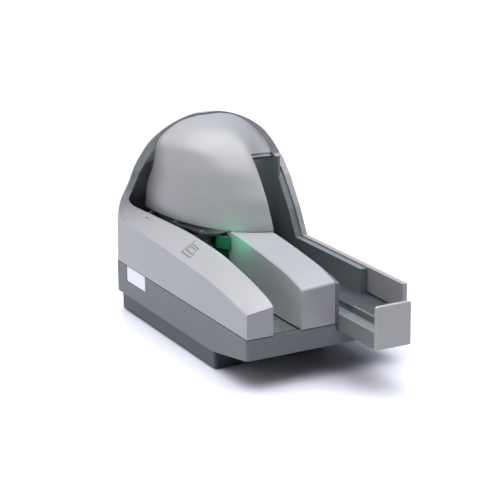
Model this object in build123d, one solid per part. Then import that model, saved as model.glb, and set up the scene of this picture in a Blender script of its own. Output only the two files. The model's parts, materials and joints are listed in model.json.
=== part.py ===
from build123d import *
import os
import math
import numpy as np

os.makedirs("parts", exist_ok=True)

# ---------------------------------------------------------------- driving dimensions (mm)
# construction frame: X = 0 at the left wall, Y = 0 at the base's front face, Z = 0 at the parting line
W = 160.0            # overall body width, X
L = 263.0            # overall body length, Y
CX = W / 2
BAND_REAR = -30.0    # underside of the base band behind the overhang
BAND_FRONT = -18.6   # underside of the base band at the front face
OVERHANG = 66.0      # length of the front overhang
PLINTH_X0, PLINTH_X1 = 3.3, 118.0
PLINTH_Y0, PLINTH_Y1 = 66.0, 259.0
PLINTH_BOT = -46.9
FOOT_H = 1.5
FLOOR_Z = PLINTH_BOT - FOOT_H
WALL = 2.5
RIM_Y = 222.0        # front plane of the rear hood's arch
TRAY_OUT = 60.3      # how far the exit tray stands out in front of the base
DECK_T = 2.0         # track deck thickness
DECK_Z = -1.0        # top of the track deck
SHAFT_R = 2.5
RUN = 0.05           # radial running clearance
PATH_X0, PATH_X1 = 19.5, 146.5   # document path, left and right lanes
PATH_Y = 240.0                   # document path, rear run
PATH_R = 25.0                    # document path, corner radius
LANE = 1.5                       # half the lane width

# row frame: origin under the middle of the bounding box, on the surface it stands on
OX, OY, OZ = CX, (L - TRAY_OUT) / 2, FLOOR_Z
NODES = []


def put(name, *shapes):
    solids = []
    for sh in shapes:
        solids += list(sh.solids())
    s = solids[0] if len(solids) == 1 else Compound(children=[Solid(x.wrapped) for x in solids])
    export_step(Pos(-OX, -OY, -OZ) * s, f"parts/{name}.step")
    NODES.append(name)


def bx(x0, x1, y0, y1, z0, z1):
    return Pos((x0 + x1) / 2, (y0 + y1) / 2, (z0 + z1) / 2) * Box(x1 - x0, y1 - y0, z1 - z0)


def cyl(x, y, z0, z1, r):
    return Pos(x, y, (z0 + z1) / 2) * Cylinder(r, z1 - z0)


def cyl_x(x0, x1, y, z, r):
    return Pos((x0 + x1) / 2, y, z) * Rot(0, 90, 0) * Cylinder(r, x1 - x0)


def cyl_y(x, y0, y1, z, r):
    return Pos(x, (y0 + y1) / 2, z) * Rot(90, 0, 0) * Cylinder(r, y1 - y0)


def prism_x(pts, x0, x1):
    f = make_face(Polyline(*[(x0, y, z) for y, z in pts], close=True))
    return extrude(f, x1 - x0, dir=(1, 0, 0))


def prism_z(pts, z0, z1):
    f = make_face(Polyline(*[(x, y, z0) for x, y in pts], close=True))
    return extrude(f, z1 - z0, dir=(0, 0, 1))


def prism_y(pts, y0, y1):
    f = make_face(Polyline(*[(x, y0, z) for x, z in pts], close=True))
    return extrude(f, y1 - y0, dir=(0, 1, 0))


def rrect(x0, x1, y0, y1, r, z):
    """rounded rectangle wire in plan at height z, always six edges: two rounded rear corners"""
    a, b = (x0, y0, z), (x1, y0, z)
    c, d = (x1, y1 - r, z), (x1 - r, y1, z)
    e, f = (x0 + r, y1, z), (x0, y1 - r, z)
    k = r * (1 - math.sqrt(0.5))
    return Wire([Line(a, b), Line(b, c), ThreePointArc(c, (x1 - k, y1 - k, z), d), Line(d, e),
                 ThreePointArc(e, (x0 + k, y1 - k, z), f), Line(f, a)])


def tidy_fillet(shape, edges, r):
    """round the edges, or leave them sharp if the rounding can't be made"""
    for k in (1.0, 0.6):
        try:
            s = fillet(edges, r * k)
            if s.is_valid:
                return s
        except Exception:
            pass
    return shape


# ---------------------------------------------------------------- base
def base_solid(inset, zt, dz, extra=0.0):
    """band: rectangular in plan, with the underside rising towards the front"""
    i = inset
    pts = [(i, zt), (L - i, zt), (L - i, BAND_REAR + dz), (OVERHANG + i * 0.2, BAND_REAR + dz), (i, BAND_FRONT + dz)]
    return prism_x(pts, i, W - i)


outer = base_solid(0, 0, 0)
vert = outer.edges().filter_by(Axis.Z)
outer = tidy_fillet(outer, vert, 3.5)
inner = base_solid(WALL, 1.0, WALL)
base = outer - inner
# lip that the casing sits inside, cable outlet, socket openings, label notch, tray slot
base -= bx(-1, 0.9, 199, 240, -15.5, 1)                       # shallow recess for the rating label
base -= bx(104, 116, L - 4, L + 1, -17, -6)                   # power socket opening
base -= bx(84, 97, L - 4, L + 1, -17, -5)                     # data socket opening
base -= bx(87.0, 123.0, -1, WALL + 0.1, -6.5, 1)              # opening for the exit tray in the front wall
# posts that carry the deck
POSTS = [(8, 20), (8, 140), (8, 254), (152, 20), (152, 140), (152, 254), (70, 60), (62, 254)]
for px, py in POSTS:
    zb = BAND_REAR + WALL - 0.5 if py > OVERHANG else BAND_FRONT + WALL - 0.5 + (BAND_REAR - BAND_FRONT) * py / OVERHANG
    base += cyl(px, py, zb, DECK_Z - DECK_T, 3.6)
for px, py in POSTS:
    base -= cyl(px, py, DECK_Z - DECK_T - 9, DECK_Z - DECK_T + 1, 1.25)
# louvres in the right wall
for k in range(9):
    base -= bx(W - 4, W + 1, 150 + 8 * k, 153 + 8 * k, -20, -8)
SCREW_LOW = [(14, 76), (108, 76), (14, 249), (108, 249)]
for px, py in SCREW_LOW:
    base -= cyl(px, py, BAND_REAR - 1, BAND_REAR + WALL + 1, 1.7)
base -= bx(-1, W + 1, -1, L + 1, -0.5, 1) - bx(1.1, W - 1.1, 1.1, L - 1.1, -1, 2)   # shadow line under the casing
put("base_pan", base)

pl = bx(PLINTH_X0, PLINTH_X1, PLINTH_Y0, PLINTH_Y1, PLINTH_BOT, BAND_REAR)
pl = tidy_fillet(pl, pl.edges().filter_by(Axis.Z), 3.0)
pl -= bx(PLINTH_X0 + WALL, PLINTH_X1 - WALL, PLINTH_Y0 + WALL, PLINTH_Y1 - WALL, PLINTH_BOT + WALL, BAND_REAR + 1)
for px, py in SCREW_LOW:
    pl += cyl(px, py, PLINTH_BOT + 1, BAND_REAR, 3.8)
    pl -= cyl(px, py, PLINTH_BOT - 1, BAND_REAR + 1, 1.7)
    pl -= cyl(px, py, PLINTH_BOT - 1, PLINTH_BOT + 5, 3.1)
for k in range(12):
    pl -= bx(35, 85, 100 + 6 * k, 102.5 + 6 * k, PLINTH_BOT - 1, PLINTH_BOT + WALL + 1)
FEET = [(24, 76), (98, 76), (24, 249), (98, 249)]
for px, py in FEET:
    pl -= cyl(px, py, PLINTH_BOT - 1, PLINTH_BOT + 1.0, 6.1)
put("plinth_cover", pl)
put("rubber_feet", *[cyl(px, py, FLOOR_Z, PLINTH_BOT + 1.0, 6.0) for px, py in FEET])


def screw(px, py, z0, z1, head_z, r=1.5, up=True):
    """pan-head screw; the head is below when up is true"""
    s = cyl(px, py, z0, z1, r)
    h = cyl(px, py, head_z - 2.0, head_z, 2.8) if up else cyl(px, py, head_z, head_z + 1.8, 2.6)
    slot = bx(px - 1.6, px + 1.6, py - 0.35, py + 0.35, head_z - 2.1, head_z - 1.2) if up else \
        bx(px - 1.6, px + 1.6, py - 0.35, py + 0.35, head_z + 1.0, head_z + 1.9)
    return (s + h) - slot


put("plinth_screws", *[screw(px, py, PLINTH_BOT + 5, BAND_REAR + WALL + 3, PLINTH_BOT + 5.0) for px, py in SCREW_LOW])

# ---------------------------------------------------------------- hood cover (hinged)
# z, left x, right x, foremost y, x of the foremost point, rear y, exponent on the left, length of the nose's rounding on the right
DOME = [
    (55.0, 22.0, 150.5, 104.5, 108.0, 241.0, 2.37, 14.0),
    (59.0, 22.0, 150.5, 106.0, 107.0, 240.3, 2.36, 14.0),
    (63.0, 22.0, 150.5, 108.0, 105.5, 239.6, 2.33, 14.0),
    (68.0, 22.0, 150.5, 111.0, 103.5, 238.6, 2.3, 14.0),
    (80.0, 22.0, 150.5, 118.1, 98.0, 235.0, 2.21, 14.0),
    (92.0, 23.0, 150.5, 126.9, 92.0, 228.0, 2.11, 14.0),
    (103.0, 24.5, 146.3, 135.1, 86.5, 224.5, 2.03, 14.0),
    (112.0, 26.0, 140.0, 143.0, 84.5, 224.5, 1.99, 13.0),
    (120.0, 28.0, 132.5, 151.9, 83.5, 224.5, 1.97, 14.0),
    (127.0, 34.5, 125.0, 162.3, 82.5, 224.5, 1.93, 15.0),
    (132.5, 43.0, 117.0, 174.1, 81.5, 224.5, 1.93, 14.0),
    (136.5, 51.5, 109.0, 187.0, 80.5, 224.4, 1.98, 13.0),
    (139.2, 60.5, 100.0, 201.0, 80.0, 222.8, 2.0, 10.0),
    (140.8, 68.0, 92.0, 212.0, 80.0, 222.1, 2.0, 7.0),
]


def dome_solid(t=0.0, rear=0.0):
    """solid under the dome, set in by t: the left side is a quarter superellipse, the right side a rounded nose running out straight"""
    secs = []
    for z, xl, xr, yf, xf, yr, n, k in DOME:
        pts = []
        y0 = yf + t * 1.1
        for i in range(7):
            a = math.pi * i / 12
            pts.append((xf - math.cos(a) ** (2 / n) * (xf - xl - t) if i < 6 else xf, yr - (yr - y0) * math.sin(a) ** (2 / n), z - t))
        x1, x2 = xf + k - 0.5 * t, xr - 1.25 * t
        for i in range(1, 7):
            s = i / 6
            pts.append(((1 - s) ** 2 * xf + 2 * s * (1 - s) * x1 + s * s * x2, (1 - s * s) * y0 + s * s * yr, z - t))
        p0, p1 = pts[0], pts[-1]
        if rear > 0:
            q0, q1 = (p0[0], p0[1] + rear, p0[2]), (p1[0], p1[1] + rear, p1[2])
            secs.append(Wire([Spline(*pts), Line(p1, q1), Line(q1, q0), Line(q0, p0)]))
        else:
            secs.append(Wire([Spline(*pts), Line(p1, p0)]))
    return Solid.make_loft(secs, False)


HT = 2.4
CUT_X = 85.3


def cut_z(y):
    """lower edge of the hood cover on the right, falling towards the back"""
    return 115.0 - 0.293 * (y - 144.0)


hood = dome_solid() - dome_solid(HT, 8.0)
right_cut = prism_x([(60, 40), (262, 40), (262, cut_z(262)), (60, cut_z(60))], CUT_X, 175)
hood -= right_cut
hood -= bx(0, 160, 224.5, 262, 102, 150) + bx(120, 160, 222.9, 262, 80, 102.1)
hood -= bx(69.6, 89.6, 221.9, 262, 128, 150)       # room for the bracket's arm when the cover is open
# the right-hand edge is stepped: the inner half of the wall reaches lower and shows as a narrow lip
lip_band = prism_x([(60, cut_z(60) - 3), (262, cut_z(262) - 3), (262, cut_z(262) + 3.4), (60, cut_z(60) + 3.4)], CUT_X, 175)
hood -= (dome_solid(-0.8) - dome_solid(1.1, 8.0)) & lip_band
hood = max(hood.solids(), key=lambda s: s.volume)
# hinge lugs at the top of the cover, either side of the bracket
HIN_Y, HIN_Z, HIN_R = 220.5, 135.9, 1.2
lug = []
for x0, x1 in ((66, 70), (90, 94)):
    body = bx(x0, x1, HIN_Y - 2.2, HIN_Y + 1.4, HIN_Z, HIN_Z + 3.6) + cyl_x(x0, x1, HIN_Y, HIN_Z, 2.2)
    hood += body
hood -= cyl_x(60, 100, HIN_Y, HIN_Z, HIN_R)
print("hood", hood.is_valid, len(hood.solids()), round(hood.volume))
put("hood_cover", hood)

# ---------------------------------------------------------------- top casing
# z, half width, rear y, rear corner radius
HELMET = [   # z, half width, rear y, corner radius of the outer face
    (0.4, 80.0, 263.0, 5.0), (22.0, 80.0, 262.6, 5.0), (44.0, 80.0, 262.0, 6.0), (48.0, 80.0, 261.6, 7.2), (54.0, 80.0, 260.8, 9.6),
    (64.0, 80.0, 259.1, 15.4), (75.0, 80.0, 256.2, 24.7), (86.0, 79.7, 253.3, 32.3), (95.0, 78.8, 251.1, 36.8), (103.0, 75.8, 249.5, 38.2),
    (110.0, 71.0, 248.1, 36.8), (118.0, 64.2, 246.4, 33.6), (125.0, 55.8, 244.0, 30.1), (130.5, 47.4, 241.1, 26.6), (135.0, 38.5, 238.0, 22.9),
    (138.5, 29.0, 235.0, 17.9), (141.0, 18.6, 232.4, 12.6), (141.8, 13.4, 231.0, 8.6),
]
HELMET_IN = [   # the same for the inner face
    (0.4, 74.8, 260.4, 3.0), (22.0, 74.7, 260.0, 3.0), (44.0, 74.6, 259.4, 4.0), (48.0, 74.6, 259.0, 5.2), (54.0, 74.5, 258.2, 7.6),
    (64.0, 74.3, 256.5, 13.0), (75.0, 74.0, 253.6, 22.0), (86.0, 73.4, 250.7, 29.5), (95.0, 72.1, 248.5, 34.2), (103.0, 68.2, 246.9, 36.0),
    (110.0, 63.0, 245.5, 35.0), (118.0, 55.8, 243.8, 32.0), (125.0, 47.8, 241.4, 28.0), (130.5, 39.6, 238.5, 24.0), (135.0, 31.0, 235.4, 19.0),
    (138.5, 22.0, 232.4, 14.0), (141.0, 12.0, 229.8, 8.0), (141.8, 6.0, 228.4, 4.0),
]
SIDE_T = 5.2


def helmet(table, drop, y0, z_low):
    """lower part straight, upper part a smooth dome; both share the section at z = 44"""
    secs = [rrect(CX - hw, CX + hw, y0, yr, r, z - drop) for z, hw, yr, r in table[2:]]
    z0, hw, yr, r = table[0]
    return Solid.make_loft([rrect(CX - hw, CX + hw, y0, yr, r, z_low), secs[0]], True) + Solid.make_loft(secs, False)


helm = helmet(HELMET, 0, 150.0, 0.4) - helmet(HELMET_IN, 2.6, 140.0, -2.0)
# front edge on the right: leaning back as it rises from the low wall to the arch
RIGHT_EDGE = [(174.0, 23.6), (179.5, 33.0), (188.0, 48.5), (197.8, 62.5), (207.0, 75.5), (216.5, 86.0), (223.5, 94.0),
              (225.0, 100.0), (225.0, 150.0)]
cut_r = prism_x([(130, 23.6)] + RIGHT_EDGE + [(130, 150)], CX, W + 5)
helm -= cut_r
helm -= bx(W - 12, W + 2, 149, 160, -5, 30)       # overlap with the low wall is joined below
# front edge on the left: a slanted face between an outer and an inner line
LEFT_CUT = [   # z, outer y at x = 0, inner y, inner x
    (44.5, 262.5, 248.0, 6.0), (52.0, 259.2, 247.0, 6.0), (62.0, 252.0, 245.0, 6.0), (75.0, 238.2, 235.7, 6.5),
    (86.0, 229.0, 227.5, 7.5), (94.0, 225.4, 225.0, 9.0), (100.0, 225.0, 225.0, 11.0), (150.0, 225.0, 225.0, 11.0),
]


def left_section(z, yo, yi, xi):
    return Wire(Polyline((-6, 100, z), (CX, 100, z), (CX, yi, z), (xi, yi, z), (0, yo, z), (-6, yo + 0.1, z), close=True))


cl = Solid.make_loft([left_section(*r) for r in LEFT_CUT], True)
helm -= cl
helm -= bx(-6, CX, 100, 243, 10, 44.6)
helm -= bx(SIDE_T - 3, CX, 100, 236, -1, 44.6)

# left block: sections along Y; inner top edge rises and closes towards the wall at the back
LB = [  # y, crease z, inner x, inner z
    (0.0, 22.0, 25.0, 25.6), (4.0, 22.8, 25.0, 28.0), (12.0, 24.2, 25.0, 31.0), (24.0, 26.6, 25.0, 34.4), (40.0, 29.4, 25.0, 38.2),
    (58.0, 32.1, 25.0, 41.7), (76.0, 34.1, 25.0, 44.8), (95.0, 35.3, 25.0, 47.2), (114.0, 36.3, 24.6, 48.8),
    (135.0, 37.8, 23.3, 50.8), (155.0, 39.0, 20.6, 53.1), (175.0, 40.1, 17.8, 54.4), (195.0, 41.0, 15.4, 55.2),
    (215.0, 41.7, 13.0, 56.0), (230.0, 41.9, 10.2, 56.2), (243.4, 42.0, 7.0, 56.6),
]
LB_FLARE = 1.5   # draft of the side wall


def block_section(y, zc, xi, zi, t=0.0):
    drop = 0.0 if t == 0 else t * 1.15
    x0 = t
    return Wire(Polyline((x0, y, 0.4 if t == 0 else -3.0), (xi - t, y, 0.4 if t == 0 else -3.0), (xi - t, y, zi - drop),
                         (xi - t - 3.0 * (xi / 25.0), y, zi - drop - 0.55), (x0 + 1.0, y, zc + 0.55 - drop), (x0, y, zc - drop), close=True))


lb = Solid.make_loft([block_section(*r) for r in LB], False)
lb_in = Solid.make_loft([block_section(*r, t=2.3) for r in LB[1:-1]], False)
lb = lb - lb_in
lb -= bx(5.5, 27.0, 139.5, 160.5, 1.4, 38.7)      # window for the separator roller
lb -= bx(8.5, 27.0, 183.5, 196.5, 2.2, 45.5)      # window for the pinch roller
lb -= bx(19.5, 27.0, 103.0, 133.0, 8.5, 31.5)     # window for the pusher arm
lb -= cyl(14.3, 190, -2, 46.2, 1.55)
lb = lb & helmet(HELMET, 0, -10.0, -2.0)
# blend from the block's top up into the left leg: outer point, inner point, direction into the body
BLEND = [
    ((0, 214.0, 41.5), (13.0, 214.0, 55.8), (0, 0, -1), -0.6, 1.0),
    ((0, 230.0, 42.3), (10.2, 230.0, 57.0), (0, 0.12, -1), -0.45, 1.0),
    ((0, 242.0, 43.0), (7.9, 238.6, 58.4), (0, 0.40, -0.92), -0.3, 0.8),
    ((0, 250.5, 45.0), (6.9, 242.4, 60.6), (0, 0.75, -0.66), -0.15, 0.6),
    ((0, 254.5, 50.0), (6.3, 243.6, 64.2), (0, 0.97, -0.25), -0.05, 0.5),
    ((0, 253.0, 58.0), (6.0, 241.6, 69.0), (0, 1, -0.05), 0, 0.4),
    ((0, 246.5, 67.0), (6.1, 236.8, 74.4), (0, 1, 0), 0, 0.3),
    ((0, 237.5, 76.0), (6.9, 231.6, 80.4), (0, 1, 0), 0, 0.15),
    ((0.4, 229.0, 86.0), (7.6, 227.4, 87.0), (0, 1, 0), 0, 0.0),
]


def between(rows, k):
    """rows of numbers with k - 1 more between each pair, on a smooth curve through them"""
    out = []
    for j in range(len(rows) - 1):
        p0, p1, p2, p3 = rows[max(j - 1, 0)], rows[j], rows[j + 1], rows[min(j + 2, len(rows) - 1)]
        for m in range(k):
            t = m / k
            out.append([0.5 * (2 * q1 + (q2 - q0) * t + (2 * q0 - 5 * q1 + 4 * q2 - q3) * t * t + (3 * q1 - q0 - 3 * q2 + q3) * t ** 3)
                        for q0, q1, q2, q3 in zip(p0, p1, p2, p3)])
    return out + [list(rows[-1])]


def blend_section(v):
    o, i, d = Vector(*v[0:3]), Vector(*v[3:6]), Vector(*v[6:9]).normalized()
    w = i - o
    return Wire(Polyline(o, o + w * 0.077 - d * v[9], o + w * 0.88 - d * v[10], i, i + d * 9, o + d * 9, close=True))


blend = Solid.make_loft([blend_section(v) for v in between([(*o, *i, *d, a, b) for o, i, d, a, b in BLEND], 4)], True)
blend = blend & helmet(HELMET, 0, -10.0, -2.0)
print("blend", blend.is_valid, round(blend.volume))
lb = lb + blend
print("left block", lb.is_valid, lb.volume)
# low wall on the right
lw = bx(W - 5.2, W, 2.0, 176.0, 0.4, 23.6)
lw = tidy_fillet(lw, lw.edges().filter_by(Axis.Z).sort_by(Axis.Y)[:2], 1.2)
casing = helm + lb
casing = casing + lw
print("casing", casing.is_valid, len(casing.solids()), [round(s.volume) for s in casing.solids()])
put("top_casing", max(casing.solids(), key=lambda s: s.volume))

# ---------------------------------------------------------------- centre block between the two pockets
CB = [  # y, top at the left edge, top at the right edge
    (0.0, 34.0, 36.2), (1.2, 35.6, 37.8), (5.0, 37.2, 39.3), (14.0, 39.9, 41.9), (26.0, 43.0, 45.0), (42.0, 45.7, 47.5),
    (60.0, 48.2, 49.7), (77.0, 50.4, 51.7), (95.0, 52.5, 53.5), (108.0, 53.8, 54.3), (120.0, 54.4, 54.4), (134.0, 54.4, 54.4),
]
CBX0, CBX1 = 52.6, 85.3


def cb_section(y, zl, zr, t=0.0):
    z0 = 0.4 if t == 0 else -3.0
    return Wire(Polyline((CBX0 + t, y, z0), (CBX1 - t, y, z0), (CBX1 - t, y, zr - 0.8 - t), (CBX1 - t - 0.8, y, zr - t),
                         (CBX0 + t + 1.2, y, zl - t), (CBX0 + t, y, zl - 1.2 - t), close=True))


cb = Solid.make_loft([cb_section(*r) for r in CB], False)
cb_in = Solid.make_loft([cb_section(*r, t=2.2) for r in CB[1:-1]], False)
cb = cb - (cb_in & bx(0, 200, 2.4, 131, -5, 60))
put("centre_block", cb)
EGW = [(0.3, 0.4), (3.0, 0.4), (3.0, -1.0), (100, -1.0), (100, 47.0), (60, 45.0), (30, 42.0), (12, 38.5), (0.3, 35.8)]
put("exit_guide_wall", prism_x(EGW, 86.0, 89.3) - bx(87.8, 91, -2, 90, -3, 9.7))

# ---------------------------------------------------------------- track deck and document guides
D0, D1, D2, D3 = (35.2, 150.0), (28.7, 190.0), (80.0, PATH_Y - 9.2), (117.0, PATH_Y - 9.2)
MOTOR = (80.0, 165.0)
SEP = (14.5, 150.0)
PUSH = (16.0, 104.0)
PIN_L, PIN_R, PIN_B = (PATH_X0 - 5.2, 190.0), (117.0, PATH_Y + 4.0), (80.0, PATH_Y + 5.2)
TX0, TX1, T_REAR = 86.8, 123.2, 92.0
deck = bx(2.8, W - 2.8, 2.8, L - 3.0, DECK_Z - DECK_T, DECK_Z)
deck -= bx(TX0 - 0.2, TX1 + 0.2, 0, T_REAR, -9, 3)
for p in (D0, D1, D2, D3):
    deck -= cyl(*p, -5, 0, 4.5)
deck -= cyl(*MOTOR, -5, 0, 6.0)
for px, py in POSTS:
    deck -= cyl(px, py, -5, 0, 1.7)
put("track_deck", deck)
put("deck_screws", *[screw(px, py, DECK_Z - DECK_T - 8, DECK_Z + 0.1, DECK_Z, r=1.24, up=False) for px, py in POSTS])
put("entry_floor_strip", bx(26.6, 51.4, 6, 120, DECK_Z, DECK_Z + 0.6))


def u_solid(off, z0, z1, y0):
    """U-shaped plan following the document path at an offset"""
    r = PATH_R + off
    x0, x1, y1 = PATH_X0 - off, PATH_X1 + off, PATH_Y + off
    w = Wire([Line((x0, y0, z0), (x1, y0, z0)), Line((x1, y0, z0), (x1, y1 - r, z0)),
              ThreePointArc((x1, y1 - r, z0), (x1 - r * (1 - math.sqrt(.5)), y1 - r * (1 - math.sqrt(.5)), z0), (x1 - r, y1, z0)),
              Line((x1 - r, y1, z0), (x0 + r, y1, z0)),
              ThreePointArc((x0 + r, y1, z0), (x0 + r * (1 - math.sqrt(.5)), y1 - r * (1 - math.sqrt(.5)), z0), (x0, y1 - r, z0)),
              Line((x0, y1 - r, z0), (x0, y0, z0))])
    return extrude(make_face(w), z1 - z0, dir=(0, 0, 1))


og = u_solid(LANE + 2.0, DECK_Z, 97.0, 60.0) - u_solid(LANE, DECK_Z - 1, 98.0, 50.0)
og -= bx(0, 80, 40, 186, -5, 120)
og -= bx(120, 170, 40, 209, -5, 130)
EDGE = [(40, 22.4)] + [(y + 1.6, z - 1.2) for y, z in RIGHT_EDGE[:7]] + [(240, 96)]
rw = bx(PATH_X1 + LANE, W - 5.55, 60, 222, DECK_Z, 97) - prism_x(EDGE + [(240, 130), (40, 130)], 120, 170)
rw = rw & helmet([(z, hw - 0.4, yr - 0.4, rr) for z, hw, yr, rr in HELMET_IN], 2.6, 30.0, -4.0)
og += rw
og -= prism_x([(180, 51.0), (222, 51.0), (232, 62), (232, 130), (180, 130)], 0, 30)
og -= bx(PIN_L[0] - 9, PIN_L[0] + 9, 184, 196, 2.2, 45.5) + bx(111.5, 122.5, 236, 250, 2.2, 45.5)
for pin in (PIN_L, PIN_B, PIN_R):
    og -= cyl(*pin, -2, 46.2, 1.55)
og -= cyl(152, 140, -2, 1.4, 3.0)      # room for a deck screw's head
og -= bx(80 - 6, 80 + 6, 236, 250, 2.2, 45.5)
og -= bx(0, 30, 180, 234, 52.0, 130)
og -= bx(0, 26.5, 180, 240, 52.0, 130)
og -= prism_x([(185, cut_z(185) - 1.3), (262, cut_z(262) - 1.3), (262, 130), (185, 130)], 118, 170)
og -= bx(0, 40, 150, 190.3, -5, 130)
og -= bx(91.5, 105.5, 236, 252, 2, 46.2)
put("outer_track_guide", og)
ig = u_solid(-LANE, DECK_Z, 49.6, 172.0) - u_solid(-LANE - 1.6, DECK_Z - 1, 51, 160.0)
ig -= bx(131.2, 160, 150, 262, -3, 60)
FLANK = [(86.6, 135.0), (96.5, 144.0), (104.0, 160.0), (110.0, 176.0), (118.0, 197.0), (126.5, 212.0), (130.8, 222.0), (131.2, 235.6)]
FLANK_IN = [(129.6, 236.0), (129.2, 222.4), (125.1, 213.0), (116.5, 197.7), (108.5, 176.6), (102.6, 160.9), (95.3, 145.2), (86.6, 137.2)]
ig += prism_z(FLANK + FLANK_IN, DECK_Z, 49.6)
for (px, py), rr in ((D1, 9.6), (D3, 9.6), (D2, 9.6)):
    ig -= bx(px - rr, px + rr, py - rr, py + rr, 2, 47)
ig -= bx(91.5, 105.5, 230, 245, 2, 46.2)
ig -= bx(44.8, 69.2, 230, 245, 0.6, 47)
ig -= bx(18, 24, 203.0, 213.0, 7.5, 22.5)
put("inner_track_guide", ig)
FW = [(52.4, 130.5), (44.6, 139.6), (38.0, 138.8), (30.5, 140.2), (26.6, 146.0), (25.2, 156.0), (23.7, 168.0), (23.4, 171.8)]
fw = prism_z(FW + [(24.9, 171.8), (25.2, 168.0), (26.7, 156.0), (28.1, 146.6), (31.2, 141.6), (38.2, 140.4), (45.2, 141.0), (52.4, 133.0)], DECK_Z, 49.6)
put("feed_guide_wall", fw - cyl(*D0, 1.0, 48.2, 12.8))
IP = [(40, 134.8), (30, 142), (29.3, 160), (24.6, 176), (24.6, 222), (28.5, 231), (36, 236.4), (122, 236.4), (129.6, 235.8), (129.2, 222.4),
      (125.1, 213.0), (116.5, 197.7), (108.5, 176.6), (102.6, 160.9), (95.3, 145.2), (86.0, 135.8)]
plate = prism_z(IP, 49.8, 51.8)
for p in (D0, D1, D2, D3):
    plate -= cyl(*p, 45, 55, SHAFT_R + RUN)
put("island_plate", plate)
put("shaft_bushes", *[(cyl(*p, DECK_Z - DECK_T, DECK_Z, 4.5) + cyl(*p, DECK_Z, DECK_Z + 1.0, 5.5)) - cyl(*p, -8, 4, SHAFT_R + RUN)
                      for p in (D0, D1, D2, D3)])

# ---------------------------------------------------------------- rollers, shafts, pulleys, belt
PUL_R, PUL_Z0, PUL_Z1 = 8.0, -15.8, -8.4


def drive(p, r, name):
    shaft = cyl(*p, PUL_Z0 - 0.6, 51.8, SHAFT_R)
    put(f"{name}_shaft", shaft)
    roll = cyl(*p, 2.6, 47.0, r - 3.0)
    for z0 in (5.0, 17.5, 30.0):
        roll += cyl(*p, z0, z0 + 10.5, r)
    put(f"{name}_roller", roll - cyl(*p, 0, 50, SHAFT_R))
    pul = cyl(*p, PUL_Z0, PUL_Z1, PUL_R) + cyl(*p, PUL_Z0 - 0.5, PUL_Z0, PUL_R + 0.2)
    put(f"{name}_pulley", pul - cyl(*p, -20, 0, SHAFT_R))


drive(D0, 12.0, "feed")
drive(D1, 9.0, "left_drive")
drive(D2, 9.0, "rear_drive")
drive(D3, 9.0, "right_drive")
poly = [D0, MOTOR, D3, D2, D1]


def hull(r, z0, z1):
    """rounded outline around the pulley centres: straight runs joined by arcs"""
    n = len(poly)
    edges = []
    for i in range(n):
        a, b, c = poly[i - 1], poly[i], poly[(i + 1) % n]
        d1, d2 = (b[0] - a[0], b[1] - a[1]), (c[0] - b[0], c[1] - b[1])
        l1, l2 = math.hypot(*d1), math.hypot(*d2)
        n1, n2 = (d1[1] / l1, -d1[0] / l1), (d2[1] / l2, -d2[0] / l2)
        m = (n1[0] + n2[0], n1[1] + n2[1])
        lm = math.hypot(*m)
        p, q = (b[0] + r * n1[0], b[1] + r * n1[1], z0), (b[0] + r * n2[0], b[1] + r * n2[1], z0)
        k = (b[0] + r * m[0] / lm, b[1] + r * m[1] / lm, z0)
        prev = (a[0] + r * n1[0], a[1] + r * n1[1], z0)
        edges += [Line(prev, p), ThreePointArc(p, k, q)]
    return extrude(make_face(Wire(edges)), z1 - z0, dir=(0, 0, 1))


put("drive_belt", hull(PUL_R + 1.5, PUL_Z0 + 0.7, PUL_Z1 - 0.7) - hull(PUL_R + 0.25, PUL_Z0 - 1, PUL_Z1 + 1))
mc = cyl(*MOTOR, DECK_Z, 33.0, 16.0)
mc = tidy_fillet(mc, mc.edges().filter_by(GeomType.CIRCLE).sort_by(Axis.Z)[-1:], 1.5)
put("motor_can", mc - cyl(*MOTOR, -5, 12, SHAFT_R + RUN))
put("motor_shaft", cyl(*MOTOR, PUL_Z0 - 0.6, 11.8, SHAFT_R))
mp = cyl(*MOTOR, PUL_Z0, PUL_Z1, PUL_R) + cyl(*MOTOR, PUL_Z0 - 0.5, PUL_Z0, PUL_R + 0.2)
put("motor_pulley", mp - cyl(*MOTOR, -20, 0, SHAFT_R))
put("separator_pin", cyl(*SEP, DECK_Z, 38.5, 2.0))
put("separator_roller", (cyl(*SEP, 2.0, 37.0, 6.0) + cyl(*SEP, 4, 17, 8.2) + cyl(*SEP, 21, 34, 8.2)) - cyl(*SEP, 0, 50, 2.05))
put("pinch_pins", cyl(*PIN_L, DECK_Z, 46, 1.5), cyl(*PIN_B, DECK_Z, 46, 1.5), cyl(*PIN_R, DECK_Z, 46, 1.5))


def pinch(p, r, name):
    s = cyl(*p, 3.0, 44.0, r - 1.2) + cyl(*p, 6, 15, r) + cyl(*p, 31, 40, r)
    put(name, s - cyl(*p, 0, 50, 1.55))


pinch(PIN_L, 5.0, "left_pinch_roller")
pinch(PIN_B, 5.0, "rear_pinch_roller")
pinch(PIN_R, 3.8, "right_pinch_roller")

# ---------------------------------------------------------------- reading and printing units
put("magnetic_read_head", bx(PATH_X0 + LANE, 36, 204, 212, 9, 21) + bx(34, 38, 202.5, 213.5, DECK_Z, 24))
put("inner_image_sensor", bx(92, 105, 224.5, PATH_Y - LANE - 1.7, DECK_Z, 48.5))
put("inner_sensor_glass", bx(92, 105, PATH_Y - LANE - 1.7, PATH_Y - LANE, 2.5, 45.7))
put("outer_image_sensor", bx(92, 105, PATH_Y + LANE + 2.05, 256.0, DECK_Z, 48.5))
put("outer_sensor_glass", bx(92, 105, PATH_Y + LANE, PATH_Y + LANE + 2.05, 2.5, 45.7))
hold = bx(43.4, 45.6, 210.4, 236.2, DECK_Z, 30) + bx(68.4, 70.4, 210.4, 236.2, DECK_Z, 30) + bx(43.4, 70.4, 210.4, 212.8, DECK_Z, 36)
hold += bx(43.4, 70.4, 210.4, 236.2, DECK_Z, 1.2)
put("cartridge_holder", hold)
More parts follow.
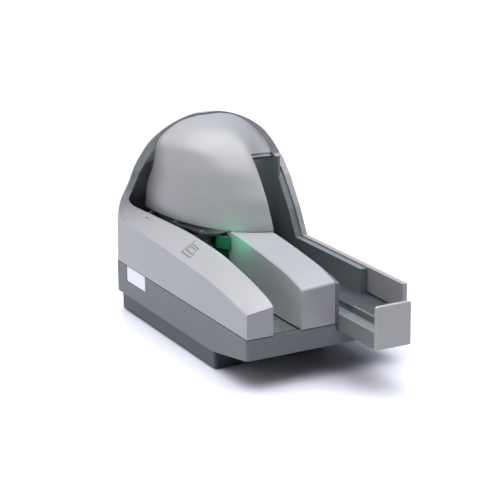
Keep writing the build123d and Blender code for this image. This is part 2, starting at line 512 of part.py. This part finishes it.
cart = bx(46.0, 68.0, 213.2, 236.0, 1.4, 45.5)
cart = tidy_fillet(cart, cart.edges().filter_by(Axis.Z), 1.2)
put("print_cartridge", cart + bx(54, 60, 235.9, 238.3, 6, 16))

# ---------------------------------------------------------------- entry light, pusher
put("entry_light_pipe", prism_z([(43.0, 136.6), (51.6, 125.4), (51.6, 128.4), (44.6, 137.6)], 38.0, 49.4))
put("entry_lamp", bx(48.0, 52.4, 142.5, 148.0, DECK_Z, 3.5))
arm = cyl(*PUSH, 8, 32, 3.2) + prism_z([(PUSH[0] - 2, PUSH[1] + 1.5), (PUSH[0] + 2.6, PUSH[1] - 1.6), (28.8, 126.5), (29.0, 129.4), (26.0, 129.6)], 10, 30)
put("entry_pusher", arm - cyl(*PUSH, 0, 50, 1.55))
put("pusher_pin", cyl(*PUSH, DECK_Z, 36, 1.5))
put("pusher_spring", cyl(*PUSH, 1.0, 7.6, 2.9) - cyl(*PUSH, 0, 9, 1.9))

# ---------------------------------------------------------------- exit tray
EX0, EX1 = 88.0, 122.0
tz0, tlip = -5.7, 9.2
tray = bx(EX0, EX1, -TRAY_OUT + 3.0, 27.0, tz0, tz0 + 1.8)
tray += bx(EX0, EX0 + 2.0, -TRAY_OUT + 3.0, 27.0, tz0, tlip)
tray += bx(EX1 - 2.0, EX1, -TRAY_OUT + 3.0, 27.0, tz0, 2.0)
tray += bx(EX0 + 2.0, EX0 + 3.6, -TRAY_OUT + 3.0, 27.0, tz0, 6.6)
put("exit_tray", tray)
ep = bx(EX0, EX1, -TRAY_OUT, -TRAY_OUT + 3.0, tz0, 32.2)
ep = tidy_fillet(ep, [e for e in ep.edges().filter_by(Axis.Y) if e.center().Z > 20], 2.2)
ep = tidy_fillet(ep, ep.edges().group_by(Axis.Y)[0], 0.6)
put("tray_end_plate", ep)
run = bx(TX0 - 1.4, TX1 + 1.4, 2.8, T_REAR - 0.3, -8.4, -6.2)
run += bx(TX0 - 1.4, TX0 - 0.1, 2.8, T_REAR - 0.3, -8.4, -3.0) + bx(TX1 + 0.1, TX1 + 1.4, 2.8, T_REAR - 0.3, -8.4, -3.0)
run += bx(TX0, TX1, T_REAR - 2.0, T_REAR - 0.3, -8.4, -1.0)
put("tray_runner", run)

# ---------------------------------------------------------------- hinge bracket and pin
hb = cyl_x(70.4, 88.8, HIN_Y, HIN_Z, 2.2) + bx(70.4, 88.8, HIN_Y, 229.9, HIN_Z - 1.6, HIN_Z + 0.8)
put("hood_hinge_bracket", hb - cyl_x(60, 100, HIN_Y, HIN_Z, HIN_R + RUN))
put("hood_hinge_pin", cyl_x(65.8, 94.2, HIN_Y, HIN_Z, HIN_R))

# ---------------------------------------------------------------- electronics and label
bd = bx(22, 140, 118, 246.4, -25.0, -23.4)
put("main_board", bd)
put("board_components", bx(40, 62, 140, 162, -23.4, -21.6), bx(75, 89, 136, 150, -23.4, -21.4), bx(100, 112, 150, 158, -23.4, -20.0),
    bx(40, 50, 200, 214, -23.4, -21.8), bx(66, 74, 180, 196, -23.4, -21.6), cyl(128, 225, -23.4, -17.5, 4.0), cyl(128, 236, -23.4, -17.5, 4.0))
put("power_socket", (bx(103.5, 116.5, 246.5, 260.3, -23.4, -5.2) + bx(104.2, 115.8, 260.3, L - 0.6, -16.8, -6.2)) - cyl_y(110, 250, 270, -11.5, 3.2)
    + cyl_y(110, 250, 260, -11.5, 1.0))
put("data_socket", (bx(83.5, 97.5, 246.5, 260.3, -23.4, -4.2) + bx(84.2, 96.8, 260.3, L - 0.6, -16.8, -5.2)) - bx(86, 95, 252, 270, -15, -7)
    + bx(88, 93, 251, 260, -12.2, -9.8))
put("rating_label", bx(0.35, 0.9, 199.6, 239.4, -15.0, -0.4))
print(len(NODES), "nodes")
assert len(NODES) <= 60
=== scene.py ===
import json
import math

import bpy
import bmesh
from mathutils import Matrix, Vector


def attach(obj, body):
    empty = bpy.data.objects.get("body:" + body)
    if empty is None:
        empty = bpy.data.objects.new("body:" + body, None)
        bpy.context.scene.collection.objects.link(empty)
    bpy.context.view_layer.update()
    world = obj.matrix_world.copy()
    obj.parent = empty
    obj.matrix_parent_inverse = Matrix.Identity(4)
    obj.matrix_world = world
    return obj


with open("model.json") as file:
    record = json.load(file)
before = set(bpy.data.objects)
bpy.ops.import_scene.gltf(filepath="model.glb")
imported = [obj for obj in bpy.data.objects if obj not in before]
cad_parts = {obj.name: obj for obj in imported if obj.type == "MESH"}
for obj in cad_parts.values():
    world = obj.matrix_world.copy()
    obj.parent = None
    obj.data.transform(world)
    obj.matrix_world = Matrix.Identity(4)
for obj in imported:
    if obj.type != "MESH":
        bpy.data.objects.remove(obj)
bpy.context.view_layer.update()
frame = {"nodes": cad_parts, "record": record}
NODES = frame["nodes"]
SLOT = {s["node"]: s["material_slot"] for s in frame["record"]["subparts"]}


# ------------------------------------------------------------------ materials
def new_material(name):
    m = bpy.data.materials.new(name)
    m.use_nodes = True
    nt = m.node_tree
    bsdf = next(n for n in nt.nodes if n.type == "BSDF_PRINCIPLED")
    return m, nt, bsdf


def add(nt, kind, **sockets):
    n = nt.nodes.new(kind)
    for k, v in sockets.items():
        n.inputs[k.replace("_", " ")].default_value = v
    return n


def mix_colour(nt, fac, a, b):
    n = nt.nodes.new("ShaderNodeMix")
    n.data_type = "RGBA"
    n.inputs["A"].default_value = (*a, 1)
    n.inputs["B"].default_value = (*b, 1)
    nt.links.new(fac, n.inputs["Factor"])
    return n.outputs["Result"]


def moulded(name, colour, rough=0.5, spread=0.04, grain=2600.0, bump=0.05, cloud=22.0, rough_spread=0.08, specular=0.5):
    """moulded plastic: fine spark texture, faint cloudiness in colour and gloss"""
    m, nt, b = new_material(name)
    co = nt.nodes.new("ShaderNodeTexCoord")
    big = add(nt, "ShaderNodeTexNoise", Scale=cloud, Detail=3.0, Roughness=0.5)
    fine = add(nt, "ShaderNodeTexNoise", Scale=grain, Detail=2.0, Roughness=0.6)
    nt.links.new(co.outputs["Object"], big.inputs["Vector"])
    nt.links.new(co.outputs["Object"], fine.inputs["Vector"])
    lo = tuple(c * (1 - spread) for c in colour)
    hi = tuple(min(1, c * (1 + spread)) for c in colour)
    nt.links.new(mix_colour(nt, big.outputs["Fac"], lo, hi), b.inputs["Base Color"])
    mr = add(nt, "ShaderNodeMapRange")
    mr.inputs["To Min"].default_value = rough - rough_spread / 2
    mr.inputs["To Max"].default_value = rough + rough_spread / 2
    nt.links.new(fine.outputs["Fac"], mr.inputs["Value"])
    nt.links.new(mr.outputs["Result"], b.inputs["Roughness"])
    bp = add(nt, "ShaderNodeBump", Strength=bump, Distance=0.0002)
    nt.links.new(fine.outputs["Fac"], bp.inputs["Height"])
    nt.links.new(bp.outputs["Normal"], b.inputs["Normal"])
    b.inputs["Specular IOR Level"].default_value = specular
    return m


def metal(name, colour, rough=0.3, scale=(40.0, 40.0, 900.0), bump=0.05):
    """turned or drawn metal: fine lines across the axis"""
    m, nt, b = new_material(name)
    co = nt.nodes.new("ShaderNodeTexCoord")
    mp = nt.nodes.new("ShaderNodeMapping")
    mp.inputs["Scale"].default_value = scale
    n = add(nt, "ShaderNodeTexNoise", Scale=6.0, Detail=3.0)
    nt.links.new(co.outputs["Object"], mp.inputs["Vector"])
    nt.links.new(mp.outputs["Vector"], n.inputs["Vector"])
    nt.links.new(mix_colour(nt, n.outputs["Fac"], tuple(c * 0.85 for c in colour), tuple(min(1, c * 1.1) for c in colour)), b.inputs["Base Color"])
    mr = add(nt, "ShaderNodeMapRange")
    mr.inputs["To Min"].default_value = rough * 0.8
    mr.inputs["To Max"].default_value = rough * 1.3
    nt.links.new(n.outputs["Fac"], mr.inputs["Value"])
    nt.links.new(mr.outputs["Result"], b.inputs["Roughness"])
    bp = add(nt, "ShaderNodeBump", Strength=bump, Distance=0.0002)
    nt.links.new(n.outputs["Fac"], bp.inputs["Height"])
    nt.links.new(bp.outputs["Normal"], b.inputs["Normal"])
    b.inputs["Metallic"].default_value = 1.0
    return m


def clear(name, colour, rough=0.05, alpha=0.35, glow=0.0):
    m, nt, b = new_material(name)
    co = nt.nodes.new("ShaderNodeTexCoord")
    n = add(nt, "ShaderNodeTexNoise", Scale=60.0, Detail=2.0)
    nt.links.new(co.outputs["Object"], n.inputs["Vector"])
    nt.links.new(mix_colour(nt, n.outputs["Fac"], tuple(c * 0.9 for c in colour), colour), b.inputs["Base Color"])
    b.inputs["Roughness"].default_value = rough
    b.inputs["Alpha"].default_value = alpha
    if glow:
        b.inputs["Emission Color"].default_value = (*colour, 1)
        b.inputs["Emission Strength"].default_value = glow
    return m


MATS = {
    "casing_plastic": moulded("casing_plastic", (0.222, 0.225, 0.228), rough=0.34, spread=0.015, bump=0.04, grain=2200.0),
    "block_plastic": moulded("block_plastic", (0.228, 0.231, 0.238), rough=0.36, spread=0.015, bump=0.04, grain=2200.0),
    "base_plastic": moulded("base_plastic", (0.094, 0.103, 0.110), rough=0.45, spread=0.03, bump=0.08, grain=1800.0, specular=0.3),
    "plinth_plastic": moulded("plinth_plastic", (0.052, 0.060, 0.066), rough=0.5, spread=0.03, bump=0.08, grain=1800.0, specular=0.3),
    "dark_plastic": moulded("dark_plastic", (0.085, 0.104, 0.114), rough=0.34, spread=0.05, bump=0.04, grain=1800.0),
    "tray_plastic": moulded("tray_plastic", (0.120, 0.130, 0.128), rough=0.36, spread=0.03, bump=0.04, grain=1800.0),
    "end_plate_plastic": moulded("end_plate_plastic", (0.270, 0.274, 0.268), rough=0.36, spread=0.02, bump=0.04, grain=1800.0),
    "deck_metal": moulded("deck_metal", (0.035, 0.040, 0.046), rough=0.45, spread=0.06, bump=0.05, grain=1400.0),
    "steel": metal("steel", (0.60, 0.60, 0.61), 0.25),
    "zinc_screw": metal("zinc_screw", (0.50, 0.50, 0.51), 0.35),
    "foot_rubber": moulded("foot_rubber", (0.020, 0.020, 0.020), rough=0.8, spread=0.15, bump=0.2, grain=900.0),
    "roller_rubber": moulded("roller_rubber", (0.030, 0.030, 0.032), rough=0.7, spread=0.12, bump=0.2, grain=1100.0),
    "belt_rubber": moulded("belt_rubber", (0.018, 0.018, 0.018), rough=0.7, spread=0.12, bump=0.2, grain=1100.0),
    "bush_bronze": metal("bush_bronze", (0.50, 0.34, 0.16), 0.45, (200.0, 200.0, 200.0)),
    "pulley_plastic": moulded("pulley_plastic", (0.50, 0.50, 0.46), rough=0.4, spread=0.03),
    "motor_steel": metal("motor_steel", (0.36, 0.37, 0.39), 0.35),
    "sensor_plastic": moulded("sensor_plastic", (0.020, 0.021, 0.024), rough=0.45, spread=0.06),
    "window_glass": clear("window_glass", (0.70, 0.76, 0.76), 0.04, 0.35),
    "cartridge_plastic": moulded("cartridge_plastic", (0.022, 0.023, 0.026), rough=0.4, spread=0.06),
    "light_green": clear("light_green", (0.006, 0.085, 0.045), 0.45, 1.0, glow=0.05),
    "board_green": moulded("board_green", (0.014, 0.085, 0.045), rough=0.35, spread=0.3, cloud=900.0, bump=0.1),
    "part_black": moulded("part_black", (0.018, 0.018, 0.020), rough=0.5, spread=0.08),
    # painted light: a lighter copy of the dark interior plastic, standing in for light that reaches the guide inside
    # the hood
    "guide_plastic_painted_light": moulded("guide_plastic_painted_light", (0.110, 0.128, 0.136), rough=0.30, spread=0.05, bump=0.04, grain=1800.0),
    # painted shade: a near-black copy for the parts deep in the hood, so they read as its shadowed inside
    "inner_black_painted_shade": moulded("inner_black_painted_shade", (0.020, 0.024, 0.027), rough=0.5, spread=0.05, bump=0.04, grain=1800.0, specular=0.2),
    "print_ink": moulded("print_ink", (0.030, 0.032, 0.036), rough=0.5, spread=0.02, bump=0.0),
    "label_white": moulded("label_white", (0.56, 0.57, 0.59), rough=0.35, spread=0.02, bump=0.01),
    "spring_steel": metal("spring_steel", (0.45, 0.45, 0.47), 0.3, (30.0, 30.0, 2400.0)),
}

for name, o in NODES.items():
    o.data.materials.clear()
    o.data.materials.append(MATS[SLOT[name]])

# painted light: the outer track guide gets the lightened copy, so the inside of the hood reads brighter
NODES["outer_track_guide"].data.materials[0] = MATS["guide_plastic_painted_light"]
# painted shade: the island plate and inner guides are darkened to near black, so they vanish into the shade inside the
# hood
for name in ("island_plate", "inner_track_guide", "feed_guide_wall"):
    NODES[name].data.materials[0] = MATS["inner_black_painted_shade"]

# small edge radii that a moulding has; the meshes themselves stay as packed
for name, width in (("top_casing", 0.0007), ("centre_block", 0.0008), ("base_pan", 0.0006), ("plinth_cover", 0.0006), ("hood_cover", 0.0005),
                    ("exit_tray", 0.0004), ("exit_guide_wall", 0.0005), ("outer_track_guide", 0.0004)):
    mod = NODES[name].modifiers.new("edge_radius", "BEVEL")
    mod.width = width
    mod.segments = 2
    mod.limit_method = "ANGLE"
    mod.angle_limit = math.radians(38)
    mod.use_clamp_overlap = True

# ------------------------------------------------------------------ pictogram printed on the left block: a sheet above a slot
from mathutils.bvhtree import BVHTree

skin = NODES["top_casing"].data
tree = BVHTree.FromPolygons([v.co.copy() for v in skin.vertices], [tuple(p.vertices) for p in skin.polygons])
OX, OY, OZ = 0.08, 0.10135, 0.0484


def printed(name, strokes, x0, y0, ux, uy, size, width):
    """thin printed strokes laid on the casing, in a plan frame with origin (x0, y0), axes u and v"""
    bm = bmesh.new()
    for pts in strokes:
        for (a, b), (c, d) in zip(pts, pts[1:]):
            n = max(2, int(math.hypot(c - a, d - b) * 6))
            t = Vector((c - a, d - b, 0)).normalized()
            s = Vector((-t.y, t.x, 0)) * width / 2
            rows = []
            for k in range(n + 1):
                f = k / n
                e = t * (width / 2) * (1 if k == n else -1 if k == 0 else 0)
                row = []
                for side in (-1, 1):
                    p = Vector((a + (c - a) * f, b + (d - b) * f, 0)) + s * side + e
                    x = x0 + (ux[0] * p.x + uy[0] * p.y) * size
                    y = y0 + (ux[1] * p.x + uy[1] * p.y) * size
                    hit, normal, _, _ = tree.ray_cast(Vector((x / 1000 - OX, y / 1000 - OY, 0.15)), Vector((0, 0, -1)))
                    if normal.z < 0:
                        normal = -normal
                    row.append(bm.verts.new(hit + normal * 0.00004))
                rows.append(row)
            for r0, r1 in zip(rows, rows[1:]):
                f = bm.faces.new((r0[0], r0[1], r1[1], r1[0]))
                f.normal_update()
                if f.normal.z < 0:
                    f.normal_flip()
    me = bpy.data.meshes.new(name)
    bm.to_mesh(me)
    bm.free()
    o = bpy.data.objects.new(name, me)
    bpy.context.collection.objects.link(o)
    me.materials.append(MATS["print_ink"])
    return o


mark = printed("feed_pictogram", [
    [(0, 0), (0, 0.62), (1.0, 0.62), (1.0, 0), (0, 0)],
    [(-0.22, 0.95), (-0.22, -0.30), (1.22, -0.30), (1.22, 0.1)],
    [(0.2, 0.42), (0.8, 0.42)],
], 9.5, 130.0, (0.0, -1.0), (1.0, 0.0), 11.0, 0.075)
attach(mark, "casing")

# ------------------------------------------------------------------ floor, light, camera
TOP, LEFT, BACK, AMB = 5.8, 1.15, 0.6, 0.04
bpy.ops.mesh.primitive_plane_add(size=1, location=(0, 0, 0))
floor = bpy.context.object
floor.name = "floor"
floor.scale = (14, 14, 1)
fm, fnt, fb = new_material("floor_paper")
fb.inputs["Roughness"].default_value = 0.16
fb.inputs["Specular IOR Level"].default_value = 0.5
fco = fnt.nodes.new("ShaderNodeTexCoord")
fn = add(fnt, "ShaderNodeTexNoise", Scale=3.0, Detail=2.0)
fnt.links.new(fco.outputs["Object"], fn.inputs["Vector"])
fnt.links.new(mix_colour(fnt, fn.outputs["Fac"], (0.64, 0.64, 0.69), (0.66, 0.66, 0.705)), fb.inputs["Base Color"])
floor.data.materials.append(fm)

# studio light by direction: a bright panel overhead, a fill from the left, dark towards the front
world = bpy.data.worlds.new("studio")
bpy.context.scene.world = world
bpy.context.scene.view_settings.view_transform = "Standard"
world.use_nodes = True
wt = world.node_tree
bg = next(n for n in wt.nodes if n.type == "BACKGROUND")
out = next(n for n in wt.nodes if n.type == "OUTPUT_WORLD")
wco = wt.nodes.new("ShaderNodeTexCoord")


def lobe(direction, edge0, edge1, colour):
    """colour of one soft panel of light, seen round a direction"""
    d = wt.nodes.new("ShaderNodeVectorMath")
    d.operation = "DOT_PRODUCT"
    d.inputs[1].default_value = Vector(direction).normalized()
    wt.links.new(wco.outputs["Generated"], d.inputs[0])
    r = wt.nodes.new("ShaderNodeMapRange")
    r.interpolation_type = "SMOOTHSTEP"
    r.inputs["From Min"].default_value = edge0
    r.inputs["From Max"].default_value = edge1
    wt.links.new(d.outputs["Value"], r.inputs["Value"])
    v = wt.nodes.new("ShaderNodeVectorMath")
    v.operation = "SCALE"
    v.inputs[0].default_value = colour
    wt.links.new(r.outputs["Result"], v.inputs["Scale"])
    return v.outputs["Vector"]


def total(a, b):
    v = wt.nodes.new("ShaderNodeVectorMath")
    v.operation = "ADD"
    wt.links.new(a, v.inputs[0])
    if isinstance(b, tuple):
        v.inputs[1].default_value = b
    else:
        wt.links.new(b, v.inputs[1])
    return v.outputs["Vector"]


light = lobe((0.0, -0.06, 1.0), 0.67, 0.94, (TOP * 0.985, TOP * 0.99, TOP * 1.03))
light = total(light, lobe((-1.0, 0.5, 0.3), 0.35, 0.95, (LEFT, LEFT, LEFT * 1.0)))
light = total(light, lobe((0.1, 1.0, 0.35), 0.2, 0.9, (BACK * 0.95, BACK * 0.96, BACK * 1.15)))
light = total(light, (AMB * 0.9, AMB * 0.92, AMB * 1.35))
wt.links.new(light, bg.inputs["Color"])
bg.inputs["Strength"].default_value = 1.0
white = wt.nodes.new("ShaderNodeBackground")
white.inputs["Color"].default_value = (1, 1, 1, 1)
lp = wt.nodes.new("ShaderNodeLightPath")
ms = wt.nodes.new("ShaderNodeMixShader")
wt.links.new(lp.outputs["Is Camera Ray"], ms.inputs[0])
wt.links.new(bg.outputs[0], ms.inputs[1])
wt.links.new(white.outputs[0], ms.inputs[2])
wt.links.new(ms.outputs[0], out.inputs["Surface"])

# the feed light's spill on the cover, above the entry pocket
gd = bpy.data.lights.new("feed_glow", "POINT")
gd.color = (0.03, 1.0, 0.42)
gd.energy = 0.018
gd.shadow_soft_size = 0.012
go = bpy.data.objects.new("feed_glow", gd)
bpy.context.collection.objects.link(go)
go.location = (38.0 / 1000 - 0.08, 108.0 / 1000 - 0.10135, (52.0 + 48.4) / 1000)

# light that reaches the inside of the rear hood
hd = bpy.data.lights.new("hood_fill", "POINT")
hd.color = (0.92, 0.97, 1.0)
hd.energy = 0.06
hd.shadow_soft_size = 0.015
ho = bpy.data.objects.new("hood_fill", hd)
bpy.context.collection.objects.link(ho)
ho.location = (88.0 / 1000 - 0.08, 196.0 / 1000 - 0.10135, (90.0 + 48.4) / 1000)

YAW, PITCH, ROLL = math.radians(-28.402747), math.radians(17.003467), math.radians(-0.455098)
back = Vector((math.sin(YAW) * math.cos(PITCH), -math.cos(YAW) * math.cos(PITCH), math.sin(PITCH)))
right = Vector((math.cos(YAW), math.sin(YAW), 0))
up = back.cross(right)
r2 = right * math.cos(ROLL) + up * math.sin(ROLL)
u2 = up * math.cos(ROLL) - right * math.sin(ROLL)
cam_data = bpy.data.cameras.new("camera")
cam = bpy.data.objects.new("camera", cam_data)
bpy.context.collection.objects.link(cam)
cam_data.sensor_width = 36.0
cam_data.lens = 1689.007 / 500 * 36.0
cam_data.clip_start, cam_data.clip_end = 0.01, 50
m = Matrix.Identity(4)
for i in range(3):
    m[i][0], m[i][1], m[i][2] = r2[i], u2[i], back[i]
m.translation = Vector((-0.7026, -1.25915, 0.5292))
cam.matrix_world = m
bpy.context.scene.camera = cam
